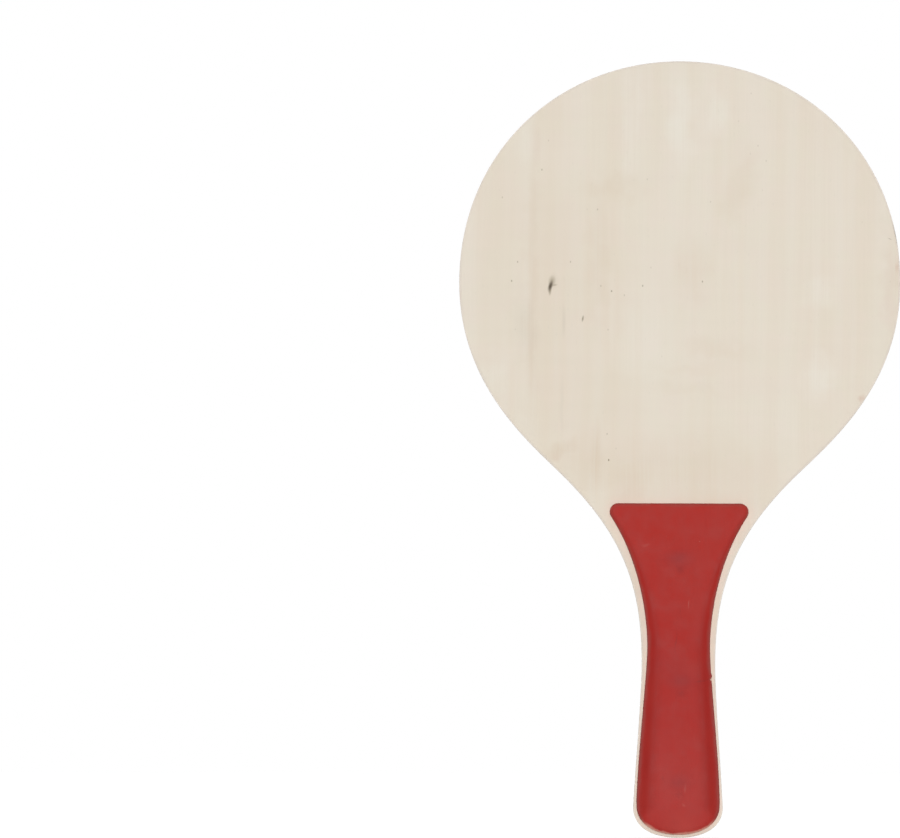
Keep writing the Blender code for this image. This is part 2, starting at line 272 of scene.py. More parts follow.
# How far the rounded edge draws the outline in at a level: radius - sqrt(radius^2 - over^2)
def drawnIn(level):
    radius = blade["edgeRadius"]
    over = np.clip(abs(level) - halfThickness + radius, 0, radius)
    return radius - np.sqrt(radius**2 - over**2)


# One side of the rim at one level: the outline drawn in by the rounded edge and by sunk wood
def rimLine(level, side, wander, sunk):
    share = bladeRows["share"] if side > 0 else 1 - bladeRows["share"]
    inset = drawnIn(level) + sunk(share)
    x = side * (bladeRows["x"] - bladeRows["nx"] * inset)
    z = bladeRows["z"] - bladeRows["nz"] * inset
    return np.column_stack([x, level + wander(share), z])


# A flat sheet from the left to the right rim line, with extra columns at the torn flake
def sheetBetween(left, right, columns):
    flakeAcross = tears["flake"][0][0] * mm
    flakeShare = 0.5 + flakeAcross / (2 * bladeRows["x"].max())

    def weight(share):
        return 1 + blade["columnCrowding"] * hump(share, flakeShare, blade["columnReach"])

    fine = columns > blade["hiddenColumns"]
    shares = crowded(columns, weight) if fine else np.linspace(0, 1, columns + 1)
    return left[:, None, :] + (right - left)[:, None, :] * shares[None, :, None], shares


# How far a face lies under its plane: hollows that fade out at the rim, and the front's tears
def faceRelief(sheet, shares, visible, seed):
    x, z = sheet[..., 0], sheet[..., 2]
    fade = (1 - (2 * shares - 1) ** 8)[None, :]
    calm = np.clip(bladeRows["x"] / blade["calmRim"], 0, 1)[:, None] ** 2
    depth = blade["faceHollow"] * swell(x, z, blade["faceWave"], seed)
    if visible == "front":
        for at, half, lean, _, _, deep in tears.values():
            depth += deep * mm * bell(x / mm, z / mm, at, half, lean)
    return depth * fade * calm


# A closed ply: two sheets, and a rim of lines from one to the other, right side down and left
# side up, closer together at a visible face's rounded edge
def plyMesh(name, front, rear, wanders, sunk, visible=None, seed=0):
    steps = np.linspace(0, 1, blade["rimSteps"] + 1)
    if visible == "front":
        steps = 1 - np.cos(steps * np.pi / 2)
    if visible == "rear":
        steps = np.sin(steps * np.pi / 2)
    levels = front + (rear - front) * steps

    def wanderAt(step):
        return lambda share: (1 - step) * wanders[0](share) + step * wanders[1](share)

    right = [rimLine(level, 1, wanderAt(step), sunk) for level, step in zip(levels, steps)]
    left = [rimLine(level, -1, wanderAt(step), sunk) for level, step in zip(levels, steps)]
    halfWidth = abs(bladeRows["x"] * bladeRows["nx"])[:, None]
    grids, fromRim = [], []
    for end, side in ((0, "front"), (-1, "rear")):
        columns = blade["faceColumns"] if side == visible else blade["hiddenColumns"]
        sheet, shares = sheetBetween(left[end], right[end], columns)
        if side == visible:
            sheet[..., 1] -= math.copysign(1, levels[end]) * faceRelief(sheet, shares, visible, seed)
        grids.append(sheet)
        fromRim.append(drawnIn(levels[end]) + (1 - abs(2 * shares - 1))[None, :] * halfWidth)
    rim = np.stack([np.concatenate([r, l[-2::-1]]) for r, l in zip(right, left)])
    grids.append(rim)
    fromRim.append(np.repeat(drawnIn(levels)[:, None], rim.shape[1], axis=1))
    return closedMesh(name, grids, {"edge": fromRim})


# Grip scales. Slopes and leans are in degrees.
grip = {
    "rows": 430,
    "rowCrowding": 3.0,  # rows lie closer together at the top edge,
    "rowReach": 2.5 * mm,  # as far as this from it
    "columns": 96,
    "columnCrowding": 0.09,  # draws the columns towards the brads
    "wallSteps": 5,
    "seam": 0.08 * mm,  # glue between the scale and the blade
    "seamSunk": 0.06 * mm,
    "tipThickness": 3.5 * mm,  # at the top edge; the palm's is the CAD scale's
    "sideRound": 6.4 * mm,  # reach of the rounded side, at the palm
    "tipRound": 1.0 * mm,
    "sideSlope": 50,
    "tipSlope": 34,
    "endBelow": 40 * mm,  # the butt's rounding lies under this height
    "endReach": 2.4 * mm,  # the rounded side's reach round the butt
    "endSideSlope": 34,  # and its slope there
    "endRound": 15 * mm,  # height of the butt's long slope
    "endSlope": 22,
    # painted highlight at the butt: a lighter tone for the light on its slope
    "buttHighlightHalf": (14 * mm, 13 * mm),  # its lighter tone
    "buttHighlightAside": 1.6 * mm,  # lies this far to the right
    "topRound": 0.8 * mm,
    "topSlope": 80,
    "edgeEase": 0.5 * mm,  # radius between the side and the upright wall
    "easeShare": 0.3,  # of the side's reach, which that radius never passes
    "ringRadius": 1.7 * mm,  # groove round each filled brad hole
    "ringHalf": 0.5 * mm,
    "ringDeep": 0.05 * mm,
    "smearRise": 5.2 * mm,  # filler smeared above the brad
    "smearHalf": (5.0 * mm, 3.2 * mm),
    "pinHalf": (1.6 * mm, 1.5 * mm),
    "pinLean": 12,
    "hollow": 0.05 * mm,
    "hollowWave": (9 * mm, 40 * mm),
    "hollowSeed": 31,
    "calmBorder": 2.5 * mm,  # the hollows fade out this near to the border
    "calmRing": 3 * mm,  # and to a ring
    # painted shade: the rounded sides' darker tone
    "sideShadeSpread": 1.7,  # the side's darker tone goes this many times as far in
}

# A paint run with a chip under it, on the front scale's right edge
nick = {
    "height": 68.9 * mm,
    "half": 0.85 * mm,
    "out": 0.28 * mm,
    "chipBelow": 1.6 * mm,
    "chipHalf": 0.7 * mm,
    "in": 0.16 * mm,
    "from": 0.9,  # share of the way out where it starts
}

# The straight top edge leads into the outline, which ends at the butt on the bat's axis
gripLow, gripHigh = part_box("handle_scale_front")
gripKnots = np.vstack([halfOutline("handle_scale_front"), [0, gripLow.z]])
gripRows = outlineRows(
    gripKnots,
    gripKnots[0] - np.outer([3, 2, 1], [mm, 0]),
    gripKnots[-2:-5:-1] * flip,
    grip["rows"],
    lambda z: grip["rowCrowding"] * hump(z, gripHigh.z, grip["rowReach"]),
)
closeEnd(gripRows, -1, -1)
gripRows["nx"][0], gripRows["nz"][0] = 0, 1
gripBase = halfThickness + grip["seam"]
palmThickness = gripHigh.y - gripLow.y


def smoothStep(value):
    value = np.clip(value, 0, 1)
    return value * value * (3 - 2 * value)


# How far the surface has fallen at a distance from the outline: a large arc from the flat crown,
# then a small one to the upright wall
def edgeFall(distance, reach, slope, ease):
    sine, cosine = np.sin(slope), np.cos(slope)
    ease = np.minimum(ease, grip["easeShare"] * reach)
    large = (reach - ease * (1 - sine)) / sine
    out = np.clip(reach - distance, 0, None)
    gentle = large - np.sqrt(np.clip(large**2 - out**2, 0, None))
    over = np.clip(out - large * sine + ease * sine, 0, ease)
    tight = large * (1 - cosine) + ease * cosine - np.sqrt(ease**2 - over**2)
    return np.where(out < large * sine, gentle, tight)


# The outline row nearest to each plan point and the distance from its tangent, in batches
def nearestRow(x, z, batches=64):
    near, distance = [], []
    for part in np.array_split(np.arange(x.size), batches):
        dx = x[part][:, None] - gripRows["x"][None, :]
        dz = z[part][:, None] - gripRows["z"][None, :]
        k = np.argmin(dx**2 + dz**2, axis=1)
        pick = np.arange(len(part))
        near.append(k)
        distance.append(-(dx[pick, k] * gripRows["nx"][k] + dz[pick, k] * gripRows["nz"][k]))
    return np.concatenate(near), np.clip(np.concatenate(distance), 0, None)


# Height of the scale at each plan point, nearness to the sides for their painted shade, a spot at the
# butt for its painted
# highlight, and distance from the border: the crown, less the arc of the butt's long slope and less the
# rounded side
def crownAt(x, z):
    flatX, flatZ = x.ravel(), z.ravel()
    near, distance = nearestRow(np.abs(flatX), flatZ)
    distance = np.minimum(distance, gripHigh.z - flatZ)
    rise = np.clip(flatZ / gripHigh.z, 0, 1)
    sideReach = grip["sideRound"] - (grip["sideRound"] - grip["tipRound"]) * rise**2
    atEnd = smoothStep(-gripRows["nz"][near]) * (flatZ < grip["endBelow"])
    atTop = smoothStep(gripRows["nz"][near])
    atTop = np.where(gripHigh.z - flatZ <= distance + 1e-9, 1.0, atTop)  # nearest to the top edge
    reach = sideReach + (grip["endReach"] - sideReach) * atEnd
    reach = reach + (grip["topRound"] - reach) * atTop
    slope = grip["sideSlope"] + (grip["tipSlope"] - grip["sideSlope"]) * rise**4
    slope = slope + (grip["endSideSlope"] - slope) * atEnd
    slope = np.radians(slope + (grip["topSlope"] - slope) * atTop)
    flat = palmThickness - (palmThickness - grip["tipThickness"]) * rise**3
    endArc = grip["endRound"] / math.sin(math.radians(grip["endSlope"]))
    endFall = endArc - np.sqrt(endArc**2 - np.clip(grip["endRound"] - flatZ, 0, None) ** 2)
    height = flat - endFall - edgeFall(distance, reach, slope, grip["edgeEase"])
    # side: nearness to the rounded side, for its painted shade
    side = (1 - np.clip(distance / sideReach / grip["sideShadeSpread"], 0, 1)) * (1 - atEnd) * (1 - atTop)
    aside = (flatX - grip["buttHighlightAside"]) / grip["buttHighlightHalf"][0]
    above = (flatZ - gripLow.z) / grip["buttHighlightHalf"][1]
    # butt: a spot at the butt for its painted highlight
    butt = smoothStep(1 - np.hypot(aside, above))
    return [values.reshape(x.shape) for values in (height, side, butt, distance)]


# A grip scale: a crowned top over a flat underside, and an upright wall between their borders
def gripMesh(name, turned):
    shares = np.linspace(0, 1, grip["columns"] + 1)
    shares = shares - grip["columnCrowding"] * np.sin(2 * np.pi * (shares - 0.5))
    across = (2 * shares - 1)[None, :]
    x = gripRows["x"][:, None] * across
    z = np.repeat(gripRows["z"][:, None], x.shape[1], axis=1)
    height, side, butt, distance = crownAt(x, z)
    smear, pin, chip = np.zeros_like(x), np.zeros_like(x), np.zeros_like(x)
    level = smoothStep(distance / grip["calmBorder"])
    for axis in [middle(brad) for brad in bradNodes if ("rear" in brad) == turned]:
        place = (-axis.x if turned else axis.x, axis.z)
        away = np.hypot(x - place[0], z - place[1])
        height -= grip["ringDeep"] * hump(away, grip["ringRadius"], grip["ringHalf"])
        level = level * smoothStep((away - grip["ringRadius"]) / grip["calmRing"])
        smear += bell(x, z, (place[0], place[1] + grip["smearRise"]), grip["smearHalf"], 0)
        pin += bell(x, z, place, grip["pinHalf"], grip["pinLean"])
    height -= grip["hollow"] * swell(x, z, grip["hollowWave"], grip["hollowSeed"] + turned) * level
    under = gridOf(x, -gripBase, z)
    if not turned:
        run = hump(z, nick["height"], nick["half"])
        gap = hump(z, nick["height"] - nick["chipBelow"], nick["chipHalf"])
        edgeRight = smoothStep((across - nick["from"]) / (1 - nick["from"]))
        x = x + (nick["out"] * run - nick["in"] * gap) * edgeRight
        chip = gap * edgeRight**2
    top = gridOf(x, gripHigh.y - height, z)
    steps = np.linspace(0, 1, grip["wallSteps"] + 1)[:, None]  # 0 at the wall's top, 1 at the blade
    wall = border(top)[None] * (1 - steps[..., None]) + border(under)[None] * steps[..., None]

    # numbers for the paint: over the top, 0 underneath, and the border's own down the wall
    def onAll(numbers, fade=1.0, more=0.0):
        return [numbers, 0 * numbers, border(numbers)[None] * fade * np.ones_like(steps) + more]

    # side carries the painted shade of the rounded sides, butt the painted highlight at the butt
    values = {"side": onAll(side), "butt": onAll(butt), "smear": onAll(smear), "pin": onAll(pin)}
    values["chip"] = onAll(chip, fade=(1 - steps) ** 2)
    values["edge"] = onAll(distance, more=steps * border(height)[None])
    return closedMesh(name, onSide([top, under, wall], turned), values, crease=55)


# Node helpers: a link where the value is a socket, else a setting
def feed(socket, value):
    if isinstance(value, bpy.types.NodeSocket):
        socket.id_data.links.new(value, socket)
    else:
        socket.default_value = value


def newNode(tree, kind, inputs=None, **settings):
    node = tree.nodes.new("ShaderNode" + kind)
    for key, value in settings.items():
        setattr(node, key, value)
    for key, value in (inputs or {}).items():
        feed(node.inputs[key], value)
    return node


# A node in the tree that the sockets among its inputs come from
def put(kind, inputs, **settings):
    sockets = [value for value in inputs.values() if isinstance(value, bpy.types.NodeSocket)]
    return newNode(sockets[0].id_data, kind, inputs, **settings)


def maths(operation, first, second=0.0, clamp=False):
    return put("Math", {0: first, 1: second}, operation=operation, use_clamp=clamp).outputs[0]


def times(first, second):
    return maths("MULTIPLY", first, second)


def plus(first, second):
    return maths("ADD", first, second)


def minus(first, second):
    return maths("SUBTRACT", first, second)


def vectors(operation, first, second=(0, 0, 0)):
    node = put("VectorMath", {0: first, 1: second}, operation=operation)
    return node.outputs["Value" if operation in ("LENGTH", "DISTANCE", "DOT_PRODUCT") else "Vector"]


# A value's range made another range, in a smooth curve, and clamped to it
def between(value, low, high, outLow=0.0, outHigh=1.0, kind="SMOOTHSTEP"):
    inputs = {"Value": value, "From Min": low, "From Max": high, "To Min": outLow, "To Max": outHigh}
    return put("MapRange", inputs, interpolation_type=kind, clamp=True).outputs["Result"]


# The same in a straight line
def ramp(value, low, high, outLow, outHigh):
    return between(value, low, high, outLow, outHigh, "LINEAR")


def mixed(factor, first, second, blend="MIX"):
    node = put("Mix", {0: factor, 6: first, 7: second}, data_type="RGBA", blend_type=blend)
    return node.outputs[2]


# A colour with a paint laid over it where the mask is, as strongly as the strength says
def tinted(colour, mask, strength, paint):
    return mixed(times(mask, strength), colour, paint)


# A colour made lighter or darker by a factor
def shaded(colour, factor):
    grey = put("CombineXYZ", {0: factor, 1: factor, 2: factor}).outputs[0]
    return mixed(1.0, colour, grey, "MULTIPLY")


# Noise over a place, which a seed moves along a fourth dimension
def noise(place, scale, detail, roughness=0.5, seed=None, output="Fac"):
    inputs = {"Vector": place, "Scale": scale, "Detail": detail, "Roughness": roughness}
    if seed is None:
        return put("TexNoise", inputs).outputs[output]
    return put("TexNoise", {**inputs, "W": seed}, noise_dimensions="4D").outputs[output]


# An sRGB colour of 0 to 255, in linear light
def tone(red, green, blue):
    values = [c / 255 for c in (red, green, blue)]
    return (*[v / 12.92 if v <= 0.04045 else ((v + 0.055) / 1.055) ** 2.4 for v in values], 1.0)


# A node group: its inputs are numbers or triples, and its outputs numbers
def newGroup(name, inputs, outputs):
    group = bpy.data.node_groups.new(name, "ShaderNodeTree")
    for label, value in inputs.items():
        kind = "NodeSocketFloat" if isinstance(value, float) else "NodeSocketVector"
        socket = group.interface.new_socket(name=label, in_out="INPUT", socket_type=kind)
        socket.default_value = value
    for label in outputs:
        group.interface.new_socket(name=label, in_out="OUTPUT", socket_type="NodeSocketFloat")
    taken = group.nodes.new("NodeGroupInput").outputs
    given = group.nodes.new("NodeGroupOutput").inputs
    return group, taken, given


def useGroup(group, inputs):
    return put("Group", inputs, node_tree=group).outputs


# Wood figure, grain along Z: fibres, broad bands, soft clouds, ripples across it and short pores
def buildFigure():
    inputs = {"Vector": (0, 0, 0), "Fibre Width": 0.7 * mm, "Fibre Length": 30 * mm, "Seed": 0.0}
    outputs = ["Fibre", "Band", "Cloud", "Ripple", "Pores"]
    group, taken, given = newGroup("wood_figure", inputs, outputs)
    place, seed = taken["Vector"], taken["Seed"]
    width, length = taken["Fibre Width"], taken["Fibre Length"]
    axes = put("SeparateXYZ", {0: place}).outputs
    across = plus(axes["X"], times(noise(place, 14.0, 1.0), 3 * mm))
    sizes = {
        0: maths("DIVIDE", across, width),
        1: maths("DIVIDE", axes["Y"], width),
        2: maths("DIVIDE", axes["Z"], length),
    }
    fibres = put("CombineXYZ", sizes).outputs[0]
    broad = vectors("MULTIPLY", fibres, (0.11, 0.11, 0.2))
    combed = vectors("MULTIPLY", place, (16.0, 16.0, 190.0))
    dashes = vectors("MULTIPLY", fibres, (0.55, 0.55, 14.0))
    # about one cell in nine holds a pore
    cells = put("TexVoronoi", {"Vector": dashes, "Scale": 1.0}).outputs
    chance = put("SeparateColor", {0: cells["Color"]}).outputs[0]
    pore = between(cells["Distance"], 0.10, 0.32, 1.0, 0.0)
    feed(given["Fibre"], noise(fibres, 1.0, 3.0, 0.6, seed))
    feed(given["Band"], noise(broad, 1.0, 2.0, seed=seed))
    feed(given["Cloud"], noise(place, 75.0, 3.0, seed=seed))
    feed(given["Ripple"], noise(combed, 1.0, 1.0, seed=seed))
    feed(given["Pores"], times(between(chance, 0.88, 0.9), pore))
    return group


# A soft elliptical mark: 1 in its middle and 0 at its border. Soft is the share that fades.
def buildMark():
    none, one = (0, 0, 0), (1, 1, 1)
    inputs = {"Vector": none, "Place": none, "Turn": none, "Half Size": one, "Soft": 1.0}
    group, taken, given = newGroup("soft_mark", inputs, ["Mask"])
    spot = {"Vector": "Vector", "Location": "Place", "Rotation": "Turn", "Scale": "Half Size"}
    spot = {label: taken[source] for label, source in spot.items()}
    local = put("Mapping", spot, vector_type="TEXTURE").outputs[0]
    distance = vectors("LENGTH", local)
    start = minus(1.0, taken["Soft"])
    feed(given["Mask"], between(distance, start, 1.0, 1.0, 0.0))
    return group


# Specks of random size, one at most in each cell of a given spacing
def buildSpecks():
    inputs = {"Vector": (0, 0, 0), "Spacing": 10 * mm, "Size": 0.3 * mm, "Share": 0.5}
    group, taken, given = newGroup("fine_specks", inputs, ["Mask"])
    scale = maths("DIVIDE", 1.0, taken["Spacing"])
    cells = put("TexVoronoi", {"Vector": taken["Vector"], "Scale": scale}).outputs
    chance = put("SeparateColor", {0: cells["Color"]}).outputs
    size = maths("DIVIDE", taken["Size"], taken["Spacing"])
    size = times(size, plus(0.5, chance[1]))
    spot = maths("SUBTRACT", 1.0, maths("DIVIDE", cells["Distance"], size), clamp=True)
    there = maths("LESS_THAN", chance[0], taken["Share"])
    feed(given["Mask"], times(spot, there))
    return group


# Wear along an edge: strongest at distance 0, gone past the reach, broken up by a noise
def buildWear():
    inputs = {"Vector": (0, 0, 0), "Distance": 0.0, "Reach": 2 * mm, "Grain": 300.0, "Amount": 0.5}
    group, taken, given = newGroup("edge_wear", inputs, ["Mask"])
    patchy = noise(taken["Vector"], taken["Grain"], 3.0)
    limit = times(taken["Reach"], times(patchy, 2.0))
    gone = maths("DIVIDE", taken["Distance"], limit)
    closeness = maths("SUBTRACT", 1.0, gone, clamp=True)
    feed(given["Mask"], times(closeness, taken["Amount"]))
    return group


figure, softMark, fineSpecks, edgeWear = buildFigure(), buildMark(), buildSpecks(), buildWear()


# A material, its tree, its shader's inputs and the place on the object
def newMaterial(name, look):
    material = bpy.data.materials.new(name)
    material.use_nodes = True
    tree = material.node_tree
    shader = tree.nodes["Principled BSDF"].inputs
    shader["Roughness"].default_value = look["roughness"]
    shader["Specular IOR Level"].default_value = look["specular"]
    shader["Metallic"].default_value = look.get("metallic", 0.0)
    return material, tree, shader, newNode(tree, "TexCoord").outputs["Object"]


def attribute(tree, name):
    return newNode(tree, "Attribute", attribute_name=name).outputs["Fac"]


def bumped(height, depth):
    return put("Bump", {"Height": height, "Distance": depth}).outputs["Normal"]


def woodGrain(place, fibre, seed):
    inputs = {"Vector": place, "Fibre Width": fibre[0], "Fibre Length": fibre[1], "Seed": seed}
    return useGroup(figure, inputs)


def specks(place, spacing, size, share):
    inputs = {"Vector": place, "Spacing": spacing, "Size": size, "Share": share}
    return useGroup(fineSpecks, inputs)["Mask"]


def worn(place, edge, reach, grain, amount):
    inputs = {"Vector": place, "Distance": edge, "Reach": reach, "Grain": grain, "Amount": amount}
    return useGroup(edgeWear, inputs)["Mask"]


# A place shaken by a noise as far as each reach says, so that no mark has a clean border
def shaken(place, scale, reaches):
    stray = noise(place, scale, 2.0, output="Color")
    stray = vectors("SUBTRACT", stray, (0.5, 0.5, 0.5))
    return [vectors("ADD", place, vectors("MULTIPLY", stray, reach)) for reach in reaches]


# Marks laid over a colour in turn: those wider than wideMark on the last of the places, others on
# the first. growth is how much larger than it looks a mark is drawn.
def withMarks(colour, marks, look, places, fade=1.0, growth=(1, 1), soft=1.0):
    for (across, up), (halfAcross, halfUp), lean, strength, paint in marks:
        spot = {
            "Vector": places[-1] if halfAcross > look["wideMark"] else places[0],
            "Place": (across * mm, 0, up * mm),
            "Turn": (0, math.radians(lean), 0),
            "Half Size": (halfAcross * growth[0] * mm, 1.0, halfUp * growth[1] * mm),
            "Soft": soft,
        }
        mask = times(useGroup(softMark, spot)["Mask"], fade)
        colour = tinted(colour, mask, strength, look[paint])
    return colour


# Pale face veneer
faceLook = {
    "cream": tone(229, 220, 205),
    "warm": tone(226, 214, 196),
    "pink": tone(228, 215, 203),
    "straw": tone(225, 218, 201),
    "rust": tone(194, 148, 126),
    "brown": tone(214, 196, 174),
    "grey": tone(204, 196, 182),
    "pale": tone(233, 228, 216),
    "dark": tone(76, 64, 50),
    "fleck": tone(150, 138, 116),
    # pale sanded wood at the edge, partly painted light over the rounded edge's shade
    "sanded": tone(247, 238, 224),
    "wall": tone(229, 214, 190),
    "rim": tone(204, 195, 186),
    "rimDirt": tone(186, 158, 138),
    "specular": 0.22,
    "roughness": 0.62,
    "fibre": (0.9 * mm, 45 * mm),  # width and length
    "cloudy": 0.22,  # strength of the straw and pink clouds
    "porous": 0.10,
    "shakeScale": 120.0,
    "shake": [(1.5 * mm, 0, 6 * mm), (12 * mm, 0, 14 * mm)],  # of narrow and of wide marks
    "wideMark": 2.5,  # half width in mm past which a mark is wide
    "markGrowth": (1.5, 1.3),
    "tearGrowth": (1.7, 1.6),
    "tearSoft": 0.9,
    "pinFlat": 0.65,  # width of a pin knot as a share of its height
    "pinRadii": (0.12 * mm, 0.42 * mm),  # darkest inside the first, gone past the second
    "pinDeep": 3.5,
    "wallDepth": (0.8 * mm, 0.35 * mm),  # under the face: the cut edge is full, and ends
    "wallTint": 0.9,
    "sandingAndLight": (0.1 * mm, 0.6 * mm, 0.85),  # full inside the first, gone past the second; strength
    "rimWear": (1.0 * mm, 90.0, 0.6),  # reach, grain and amount
    "rimStain": (0.4 * mm, 30.0, 0.15),
    "cleanFoot": (4 * mm, 16 * mm, 0.1),  # heights over which the rim gets dirty; least share
    "relief": 0.03 * mm,
}

# Marks on the front veneer, in mm: middle, half sizes, lean in degrees, strength and tone
frontMarks = [
    ((-62.6, 232), (2.4, 74), 0, 0.20, "brown"),
    ((-62.6, 232), (3.4, 78), 0, 0.17, "brown"),
    ((-61.2, 294), (2.2, 9), 0, 0.16, "rust"),
    ((-61.8, 274), (1.8, 18), 0, 0.18, "brown"),
    ((-63.1, 208), (1.8, 20), 0, 0.30, "brown"),
    ((-49.4, 219.5), (0.9, 7), 0, 0.38, "grey"),
    ((-49.9, 184), (0.9, 14), 0, 0.24, "grey"),
    ((-35.4, 246), (4.5, 38), 0, 0.27, "brown"),
    ((-28.7, 226), (1.6, 26), 0, 0.35, "pale"),
    ((-35.2, 161), (2.4, 19), 0, 0.55, "brown"),
    ((-40.0, 160), (9, 15), 0, 0.30, "brown"),
    ((-50.5, 166), (6.0, 4.0), -20, 0.55, "brown"),
    ((-52.2, 162), (2.0, 2.4), 0, 0.15, "rust"),
    ((-28.0, 276), (15, 6), 0, 0.26, "brown"),
    ((24.6, 274), (5.0, 17), 28, 0.24, "brown"),
    ((30.0, 288), (3.2, 8), 20, 0.16, "brown"),
    ((5.0, 240), (8, 16), 0, 0.26, "brown"),
    ((26.0, 251), (5, 8), 0, 0.16, "pink"),
    ((54.0, 249), (5, 5), 0, 0.20, "pink"),
    ((1.0, 304), (5, 24), 0, 0.60, "pale"),
    ((15.0, 307), (5, 11), 0, 0.50, "pale"),
    ((-20.0, 300), (3, 34), 0, 0.30, "pale"),
    ((59.0, 232), (7, 8), 0, 0.45, "pale"),
    ((59.0, 196), (7, 12), 0, 0.62, "pale"),
    ((16.0, 208), (15, 4.5), 8, 0.22, "brown"),
    ((6.0, 199), (18, 3.0), -5, 0.14, "brown"),
    ((2.0, 190), (22, 3.0), 4, 0.12, "brown"),
    ((-16.0, 216), (11, 40), 0, 0.34, "pale"),
    ((-55.0, 236), (30, 66), 0, 0.16, "brown"),
    ((-22.0, 152), (10, 9), 0, 0.28, "brown"),
    ((8.0, 156), (40, 19), 0, 0.30, "brown"),
    ((-53.6, 236.4), (1.8, 3.2), 20, 0.16, "fleck"),
    ((-46.0, 160), (20, 14), 0, 0.22, "warm"),
    ((90.0, 236), (4, 30), 0, 0.14, "rust"),
    ((92.4, 242.0), (0.9, 3.4), 0, 0.32, "rust"),
    ((89.1, 255.4), (1.0, 0.26), 0, 0.45, "fleck"),
    ((77.4, 186.5), (1.6, 2.2), 38, 0.40, "rust"),
    ((-76.0, 234), (10, 34), 0, 0.20, "straw"),
    ((-66.0, 218), (6, 16), 0, 0.22, "grey"),
    ((-80.0, 196), (7, 14), 35, 0.35, "pale"),
    ((-66.0, 297), (6, 13), -35, 0.30, "pale"),
    ((62.0, 272), (24, 38), 0, 0.16, "pale"),
    ((-54.0, 286), (16, 16), 0, 0.14, "pale"),
    ((-24.0, 232), (30, 24), 0, 0.10, "brown"),
    ((-30.0, 186), (36, 22), 0, 0.13, "brown"),
    ((-20.0, 98), (7, 34), 0, 0.26, "grey"),
    ((-20.0, 158), (34, 14), 0, 0.14, "brown"),
    ((42.0, 178), (18, 18), 0, 0.12, "pale"),
]
rearMarks = [
    ((48, 230), (1.2, 66), 0, 0.36, "brown"),
    ((-22, 250), (1.1, 40), 0, 0.30, "grey"),
    ((-58, 214), (5, 34), 0, 0.22, "brown"),
    ((10, 284), (18, 6), 6, 0.22, "brown"),
    ((26, 200), (12, 3), -6, 0.20, "brown"),
    ((-10, 232), (9, 18), 0, 0.40, "pale"),
    ((62, 262), (8, 10), 0, 0.30, "pink"),
    ((0, 164), (32, 16), 0, 0.22, "warm"),
]

# Stains on the sanded edge of the front veneer
frontRimMarks = [
    ((91.3, 258.0), (0.4, 5.5), -13, 0.45, "dark"),
    ((-93.4, 226.0), (0.5, 9), 0, 0.22, "rust"),
]

# Pin knots, as dots: across and up the bat, and how dark
frontPins = [
    (-69.0, 244.5, 0.52), (-71.5, 236.4, 0.66), (-46.5, 244.6, 0.45), (-58.8, 283.7, 0.54),
    (-56.0, 296.1, 0.22), (-35.1, 266.9, 0.38), (-39.5, 266.9, 0.10), (-75.6, 271.9, 0.36),
    (-33.6, 234.4, 0.36), (-29.0, 232.2, 0.75), (-23.6, 230.5, 0.34), (-15.8, 234.5, 0.62),
    (-12.3, 242.3, 0.20), (9.6, 236.4, 0.66), (-30.5, 215.8, 0.28), (12.9, 270.3, 0.22),
    (-14.0, 279.8, 0.22), (-30.7, 171.5, 0.40), (-30.0, 160.4, 1.0), (-69.9, 215.8, 0.12),
    (-7.6, 204.5, 0.10), (77.4, 261.8, 0.10), (89.4, 236.7, 0.12), (-26.9, 165.3, 0.16),
    (30.0, 316.4, 0.20), (24.7, 304.6, 0.15), (33.0, 294.2, 0.25), (29.8, 290.8, 0.15),
    (36.5, 287.8, 0.25), (35.0, 275.3, 0.12),
]
rearPins = [
    (-40.2, 261.0, 0.4), (22.5, 248.3, 0.6), (36.1, 222.9, 0.3), (-12.4, 205.5, 0.5),
    (58.0, 241.7, 0.4), (-66.3, 232.1, 0.6), (8.8, 190.2, 0.3), (-25.0, 284.4, 0.4),
]


# Pin knots as one mask: the darkest of them at each place
def pinKnots(place, pins, look):
    flat = vectors("MULTIPLY", place, (1, 0, look["pinFlat"]))
    knots = 0.0
    for across, up, dark in pins:
        away = vectors("DISTANCE", flat, (across * mm, 0, up * look["pinFlat"] * mm))
        knots = maths("MAXIMUM", knots, between(away, *look["pinRadii"], dark, 0.0))
    return knots


